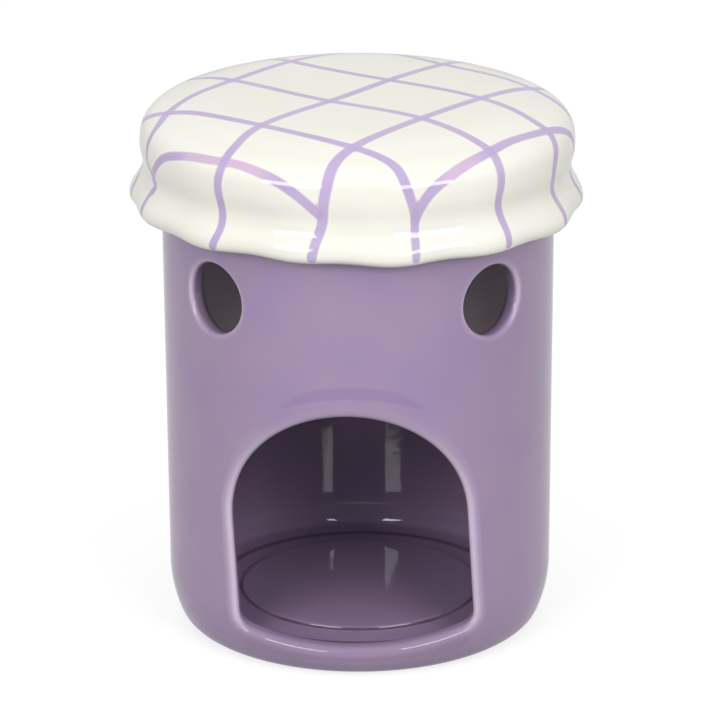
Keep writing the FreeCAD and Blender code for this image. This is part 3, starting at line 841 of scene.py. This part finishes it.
pink = np.zeros(len(cloth))
for x, y, size in PINK_PLACES:
    from_place = np.hypot(flat_x - x, flat_y - y)
    pink = np.maximum(pink, np.clip((size + PINK_FADE / 2 - from_place) / PINK_FADE, 0, 1))
held_pink = paint_reach([LINES_ACROSS[PINK_ACROSS], LINES_ALONG[PINK_ALONG]])
others = paint_reach(LINES_ACROSS[:PINK_ACROSS] + LINES_ALONG[:PINK_ALONG])
keep_on_mesh(lid, "pink", pink * (held_pink > -BRUSH_SLACK) * (others < 0))

# %% [markdown]
# ## Glazes
# A glossy glaze is coloured glass over clay. The Principled shader gives it as a diffuse colour
# under one smooth specular layer. Its colour is never quite even: it breaks pale over an edge,
# where a highlight is painted too, and is painted darker as shade in the chamber and its creases.
# The helpers below keep each node to one line.

# %% Node helpers
MIX_SHARE, MIX_FIRST, MIX_SECOND, MIX_RESULT = 0, 6, 7, 2
GLAZE_IOR = 1.55


def new_material(name, roughness):
    material = bpy.data.materials.new(name)
    material.use_nodes = True
    shader = material.node_tree.nodes["Principled BSDF"]
    shader.inputs["Roughness"].default_value = roughness
    shader.inputs["IOR"].default_value = GLAZE_IOR
    return material, material.node_tree, shader


def feed(tree, value, socket):
    """Link a node's output to a socket, or set the socket to a plain number or colour."""
    if isinstance(value, bpy.types.NodeSocket):
        tree.links.new(value, socket)
    elif isinstance(value, tuple):
        socket.default_value = (*value, 1)
    else:
        socket.default_value = value


def node(tree, kind, **settings):
    """A node with its settings and what its inputs get, both given by their names."""
    made = tree.nodes.new("ShaderNode" + kind)
    for name, value in settings.items():
        if hasattr(made, name):
            setattr(made, name, value)
        else:
            feed(tree, value, made.inputs[name.replace("_", " ")])
    return made


def calculated(tree, operation, first, second):
    """The result of a Math node on two values, each a node's output or a plain number."""
    made = node(tree, "Math", operation=operation)
    feed(tree, first, made.inputs[0])
    feed(tree, second, made.inputs[1])
    return made.outputs[0]


def blend(tree, share, first, second):
    """Mix two colours, each a node's output or a plain colour, by a share."""
    made = node(tree, "Mix", data_type="RGBA")
    feed(tree, first, made.inputs[MIX_FIRST])
    feed(tree, second, made.inputs[MIX_SECOND])
    tree.links.new(share, made.inputs[MIX_SHARE])
    return made.outputs[MIX_RESULT]


# %% Helpers for patterns
def noise(tree, scale, detail=3.0):
    """Noise in the piece's own space, with about `scale` spots to the metre."""
    where = node(tree, "TexCoord").outputs["Object"]
    return node(tree, "TexNoise", Vector=where, Scale=scale, Detail=detail).outputs["Fac"]


def spread(tree, value, low, high, start=0.0, end=1.0):
    """Turn the range from low to high into the range from start to end, and stop there."""
    made = node(tree, "MapRange", Value=value, From_Min=low, From_Max=high, To_Min=start, To_Max=end)
    return made.outputs["Result"]


def attribute(tree, name):
    return node(tree, "Attribute", attribute_name=name).outputs["Fac"]


def ripple(tree, shader, height, distance):
    """The slight waviness of a fired glaze, which breaks up its reflections."""
    bump = node(tree, "Bump", Strength=1.0, Distance=distance, Height=height)
    tree.links.new(bump.outputs["Normal"], shader.inputs["Normal"])


def dress(piece, material):
    piece.data.materials.clear()
    piece.data.materials.append(material)
    print(piece.name, "wears", material.name, "with", len(material.node_tree.nodes), "nodes")


# %% [markdown]
# ## Purple glaze
# The real glaze is a mid purple with faint cloudy spots. Over it come, one after the other, the
# pale glaze and painted highlight of the openings' edges, the painted shade in the chamber and the
# darker sill, the painted light under its roof and the painted shade of the vents, each by its
# number on the mesh.

# %% Purple glaze
PURPLE_COOL, PURPLE_WARM = (0.318, 0.230, 0.395), (0.350, 0.250, 0.395)
# Pale edges with painted highlight, painted chamber shade, painted light and painted vent shade
PALE_EDGE_AND_HIGHLIGHT = (0.60, 0.50, 0.65)
SHADED_PURPLE = (0.265, 0.195, 0.295)
LIT_GREY = (0.60, 0.54, 0.55)
VENT_SHADE = (0.10, 0.075, 0.11)

purple, tree, shader = new_material("purple_glaze_fired", 0.05)
clouds = spread(tree, noise(tree, 45.0), 0.35, 0.65)
jar_colour = blend(tree, clouds, PURPLE_COOL, PURPLE_WARM)
for name, colour in (("lip_pale_glaze_and_highlight", PALE_EDGE_AND_HIGHLIGHT), ("chamber_shade_and_dark_sill", SHADED_PURPLE),
                     ("upper_chamber_light", LIT_GREY), ("vent_bore_shade", VENT_SHADE)):
    jar_colour = blend(tree, attribute(tree, name), jar_colour, colour)
print("purple glaze has", len(tree.nodes), "nodes so far")

# %% [markdown]
# ## Lines of painted shade and gathered glaze
# Every crease is painted darker as shade, where glaze also gathers: round the chamber's floor,
# behind the sill and at the foot of the tealight's disc. A broad darker band also arcs over the
# arch. All are rings, so each is drawn by its distance from a circle in the jar's own
# space, which keeps its edge sharp whatever the mesh.

# %% Distance from a ring
where = node(tree, "TexCoord").outputs["Object"]
parts = node(tree, "SeparateXYZ", Vector=where)


def off_ring(tree, where, plane, centre, radius):
    """How far a point is from a ring, seen along the axis that the plane leaves out."""
    flat = node(tree, "VectorMath", operation="MULTIPLY")
    tree.links.new(where, flat.inputs[0])
    flat.inputs[1].default_value = plane
    reach = node(tree, "VectorMath", operation="DISTANCE")
    tree.links.new(flat.outputs["Vector"], reach.inputs[0])
    reach.inputs[1].default_value = centre
    off = calculated(tree, "SUBTRACT", reach.outputs["Value"], radius)
    return calculated(tree, "ABSOLUTE", off, 0)


# %% The painted shade lines on the chamber's floor
CREASE_SHADE = (0.05, 0.035, 0.055)
SEEN_FROM_ABOVE, ON_AXIS = (1, 1, 0), (0, 0, 0)
BELOW, FULLY_BELOW = 8.5 * MM, 7.5 * MM
ABOVE, FULLY_ABOVE = 5.5 * MM, 6.0 * MM
BEHIND_SILL = 38.0 * MM
DISC_LINE = DISC + 0.3 * MM
# Radius, distance where it ends and where it is full, darkness, and y where it starts and is full
FLOOR_SHADE_LINES = (
    (CREASE, 1.5 * MM, 0.3 * MM, 0.65, -10 * MM, 0.0),
    (BEHIND_SILL, 1.1 * MM, 0.5 * MM, 0.6, -12 * MM, -22 * MM),
    (DISC_LINE, 0.35 * MM, 0.15 * MM, 0.8, -18 * MM, -24 * MM),
)

on_floor = spread(tree, parts.outputs["Z"], BELOW, FULLY_BELOW)
on_floor = calculated(tree, "MULTIPLY", on_floor, spread(tree, parts.outputs["Z"], ABOVE, FULLY_ABOVE))


def floor_shade_line(tree, radius, end, full, darkness, y_start, y_full):
    off = off_ring(tree, where, SEEN_FROM_ABOVE, ON_AXIS, radius)
    line = spread(tree, off, end, full, 0.0, darkness)
    line = calculated(tree, "MULTIPLY", line, on_floor)
    return calculated(tree, "MULTIPLY", line, spread(tree, parts.outputs["Y"], y_start, y_full))


lines = 0.0
for settings in FLOOR_SHADE_LINES:
    lines = calculated(tree, "MAXIMUM", lines, floor_shade_line(tree, *settings))
# Painted shade in the creases, where glaze also gathers
jar_colour = blend(tree, lines, jar_colour, CREASE_SHADE)
print(len(FLOOR_SHADE_LINES), "lines on the floor")

# %% The broad darker band over the arch
ARCH_BAND_PURPLE = (0.27, 0.175, 0.365)
SEEN_FROM_FRONT = (1, 0, 1)
ARCH_BAND_CENTRE, ARCH_BAND_RADIUS = (0, 0, 41.6 * MM), 33.1 * MM
ARCH_BAND_LOW, ARCH_BAND_HIGH = 69.5 * MM, 74.5 * MM
ARCH_BAND_NARROW, ARCH_BAND_WIDE = 0.1 * MM, 1.7 * MM
ARCH_BAND_SOFTNESS = 0.5 * MM
ARCH_BAND_SHARE = 0.6
ARCH_BAND_CUT, ARCH_BAND_CUT_END = 69.3 * MM, 70.5 * MM
FRONT_START, FRONT_FULL = -30 * MM, -35 * MM

# A darker band arcs over the arch, widest at its top
arch_band_width = spread(tree, parts.outputs["Z"], ARCH_BAND_LOW, ARCH_BAND_HIGH, ARCH_BAND_NARROW, ARCH_BAND_WIDE)
off_arch_band = off_ring(tree, where, SEEN_FROM_FRONT, ARCH_BAND_CENTRE, ARCH_BAND_RADIUS)
inside_arch_band = calculated(tree, "SUBTRACT", arch_band_width, off_arch_band)
arch_band = spread(tree, inside_arch_band, -ARCH_BAND_SOFTNESS, ARCH_BAND_SOFTNESS, 0.0, ARCH_BAND_SHARE)
arch_band = calculated(tree, "MULTIPLY", arch_band, spread(tree, parts.outputs["Y"], FRONT_START, FRONT_FULL))
arch_band = calculated(tree, "MULTIPLY", arch_band, spread(tree, parts.outputs["Z"], ARCH_BAND_CUT, ARCH_BAND_CUT_END))
jar_colour = blend(tree, arch_band, jar_colour, ARCH_BAND_PURPLE)
tree.links.new(jar_colour, shader.inputs["Base Color"])
RIPPLE_DEPTH = 0.00004
ripple(tree, shader, noise(tree, 140.0, 2.0), RIPPLE_DEPTH)
dress(jar, purple)

# %% [markdown]
# ## Cream glaze and its painted lines
# The cream ground is nearly even, with slow warm and cool spots. The lilac paint lies in it with
# a soft edge, lets a little cream through, and is a shade deeper where two lines cross and the
# brush went over twice.

# %% Cream glaze and its painted lines
CREAM_WARM, CREAM_COOL = (0.82, 0.80, 0.715), (0.84, 0.83, 0.76)
LILAC_BLUE, LILAC_RED = (0.445, 0.345, 0.60), (0.50, 0.39, 0.62)
LILAC_PINK = (0.585, 0.42, 0.60)
LILAC_CROSSED = (0.42, 0.31, 0.62)
PAINT_SOFTNESS = 0.22
ONCE_SHARE, TWICE_SHARE = 0.93, 0.35

cream, tree, shader = new_material("cream_glaze_painted", 0.04)
plain = blend(tree, spread(tree, noise(tree, 30.0), 0.3, 0.7), CREAM_WARM, CREAM_COOL)
lilac = blend(tree, spread(tree, noise(tree, 38.0, 2.0), 0.35, 0.7), LILAC_BLUE, LILAC_RED)
lilac = blend(tree, attribute(tree, "pink"), lilac, LILAC_PINK)
once = spread(tree, attribute(tree, "brush_once"), -PAINT_SOFTNESS, PAINT_SOFTNESS, 0.0, ONCE_SHARE)
twice = spread(tree, attribute(tree, "brush_twice"), -PAINT_SOFTNESS, PAINT_SOFTNESS, 0.0, TWICE_SHARE)
lid_colour = blend(tree, once, plain, lilac)
lid_colour = blend(tree, twice, lid_colour, LILAC_CROSSED)
tree.links.new(lid_colour, shader.inputs["Base Color"])
ripple(tree, shader, noise(tree, 120.0, 2.0), RIPPLE_DEPTH)
dress(lid, cream)

# %% [markdown]
# ## Floor
# The object stands on white card. So that the card doesn't throw much light up on it, it is
# matt grey to the lamps and glows only for the camera and for reflections. It looks white and
# still takes the object's shadow.

# %% Floor
FLOOR_SIZE = 8
CARD_GREY = (0.32, 0.32, 0.32)
CAMERA_LIFT, MIRROR_LIFT = 0.75, 0.5


def lifts(tree, strengths):
    """The sum of strengths that only rays of one kind get."""
    light_path = node(tree, "LightPath")
    whole = 0.0
    for kind, strength in strengths.items():
        share = calculated(tree, "MULTIPLY", light_path.outputs[kind], strength)
        whole = calculated(tree, "ADD", whole, share)
    return whole


bpy.ops.object.select_all(action="DESELECT")
bpy.ops.mesh.primitive_plane_add(size=FLOOR_SIZE, location=(0, 0, 0))
floor = bpy.context.object
floor.name = "floor"
card = bpy.data.materials.new("white_card")
card.use_nodes = True
tree = card.node_tree
tree.nodes.clear()
kinds = {"Is Camera Ray": CAMERA_LIFT, "Is Glossy Ray": MIRROR_LIFT, "Is Transmission Ray": MIRROR_LIFT}
glow = node(tree, "Emission", Strength=lifts(tree, kinds))
matt = node(tree, "BsdfDiffuse", Color=CARD_GREY)
both = node(tree, "AddShader")
tree.links.new(glow.outputs[0], both.inputs[0])
tree.links.new(matt.outputs[0], both.inputs[1])
node(tree, "OutputMaterial", Surface=both.outputs[0])
floor.data.materials.append(card)
print("floor", tuple(floor.dimensions))

# %% [markdown]
# ## The room
# The room is white to the camera and lights everything softly and evenly. In the glaze it is
# darker behind the camera and overhead, as a real studio is, which gives the glaze its depth.

# %% World
ROOM_LIGHT = 0.64
BEHIND_CAMERA, BESIDE_CAMERA, DARK_BEHIND = -0.85, -0.25, 0.12
OVERHEAD_START, OVERHEAD, DARK_OVERHEAD = 0.55, 0.9, 0.3
FLOAT_FIRST, FLOAT_SECOND = 2, 3

world = bpy.data.worlds.new("studio")
bpy.context.scene.world = world
world.use_nodes = True
tree = world.node_tree
tree.nodes.clear()
seen = lifts(tree, {"Is Camera Ray": 1.0, "Is Glossy Ray": 1.0, "Is Transmission Ray": 1.0})
direction = node(tree, "SeparateXYZ", Vector=node(tree, "TexCoord").outputs["Generated"])
behind = spread(tree, direction.outputs["Y"], BEHIND_CAMERA, BESIDE_CAMERA, DARK_BEHIND, 1.0)
above = spread(tree, direction.outputs["Z"], OVERHEAD_START, OVERHEAD, 1.0, DARK_OVERHEAD)
room = calculated(tree, "MULTIPLY", behind, above)
strength = node(tree, "Mix", data_type="FLOAT")
for value, socket in ((seen, MIX_SHARE), (ROOM_LIGHT, FLOAT_FIRST), (room, FLOAT_SECOND)):
    feed(tree, value, strength.inputs[socket])
sky = node(tree, "Background", Strength=strength.outputs[0])
node(tree, "OutputWorld", Surface=sky.outputs[0])
print("room light", ROOM_LIGHT)

# %% [markdown]
# ## Softboxes
# Two wide softboxes stand left and right of the camera and above it, and their reflections are
# the paired streaks on the lid and in the chamber. Large panels that the glaze doesn't mirror
# fill in from the same sides and from the ceiling, as a pale studio's walls do.

# %% Softboxes
AIM = Vector((0, 0, 0.1))
VIEW_TURN = 2.3
# Azimuth off the front and elevation in degrees, distance, width, height, power, mirrored
LAMPS = {
    "softbox_left": (VIEW_TURN - 34, 22, 1.0, 0.54, 0.24, 3.2, True),
    "softbox_right": (VIEW_TURN + 34, 22, 1.0, 0.54, 0.24, 3.2, True),
    "ceiling_panel": (0, 89, 1.3, 1.6, 1.6, 5.0, False),
    "fill_left": (VIEW_TURN - 42, 32, 1.2, 0.9, 0.9, 1.75, False),
    "fill_right": (VIEW_TURN + 42, 32, 1.2, 0.9, 0.9, 1.75, False),
}


def softbox(name, azimuth, elevation, distance, width, height, power, mirrored):
    """An area light that faces the object. One that isn't mirrored lights it all the same."""
    turn, rise = math.radians(azimuth), math.radians(elevation)
    away = Vector((math.sin(turn) * math.cos(rise), -math.cos(turn) * math.cos(rise), math.sin(rise)))
    lamp = bpy.data.lights.new(name, "AREA")
    lamp.shape = "RECTANGLE"
    lamp.size, lamp.size_y, lamp.energy = width, height, power
    holder = bpy.data.objects.new(name, lamp)
    bpy.context.collection.objects.link(holder)
    holder.visible_glossy = mirrored
    holder.location = AIM + away * distance
    holder.rotation_euler = away.to_track_quat("Z", "Y").to_euler()
    print(name, "at", tuple(round(v, 2) for v in holder.location))


for name, settings in LAMPS.items():
    softbox(name, *settings)

# %% [markdown]
# ## Camera
# The camera is far away with a long lens and looks down a little, as in a catalogue picture.
# Its axes are built from a pitch, a small yaw and a small roll, and the whole is turned about
# the object, which doesn't quite face it.

# %% Camera
CAMERA_PLACE = Vector((-0.00363, -1.1541, 0.4726))
PITCH, YAW, ROLL = 0.3383, 0.0034, -0.0051
LENS, SENSOR = 245.98, 36

forward = Vector((math.sin(YAW) * math.cos(PITCH), math.cos(YAW) * math.cos(PITCH), -math.sin(PITCH)))
level_right = Vector((math.cos(YAW), -math.sin(YAW), 0))
level_up = level_right.cross(forward)
right = level_right * math.cos(ROLL) + level_up * math.sin(ROLL)
up = level_up * math.cos(ROLL) - level_right * math.sin(ROLL)
camera_data = bpy.data.cameras.new("camera")
camera_data.lens = LENS
camera_data.sensor_width = SENSOR
camera = bpy.data.objects.new("camera", camera_data)
bpy.context.collection.objects.link(camera)
axes = Matrix((right, up, -forward)).transposed().to_4x4()
turn = Matrix.Rotation(math.radians(VIEW_TURN), 4, "Z")
camera.matrix_world = turn @ Matrix.Translation(CAMERA_PLACE) @ axes
bpy.context.scene.camera = camera
bpy.context.scene.view_settings.view_transform = "Standard"
print("camera at", tuple(round(v, 3) for v in camera.matrix_world.translation))

# %% [markdown]
# ## Handing the pieces over
# Each finished piece takes the place of its plain solid and rides on the body that the solid
# rode on. Both are one body here, because the lid only rests on the jar. The floor is staging
# and no part of the object.

# %% Hand the pieces over to the frame
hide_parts("jar_body")
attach(jar, "root")
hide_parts("cloth_lid")
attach(lid, "root")
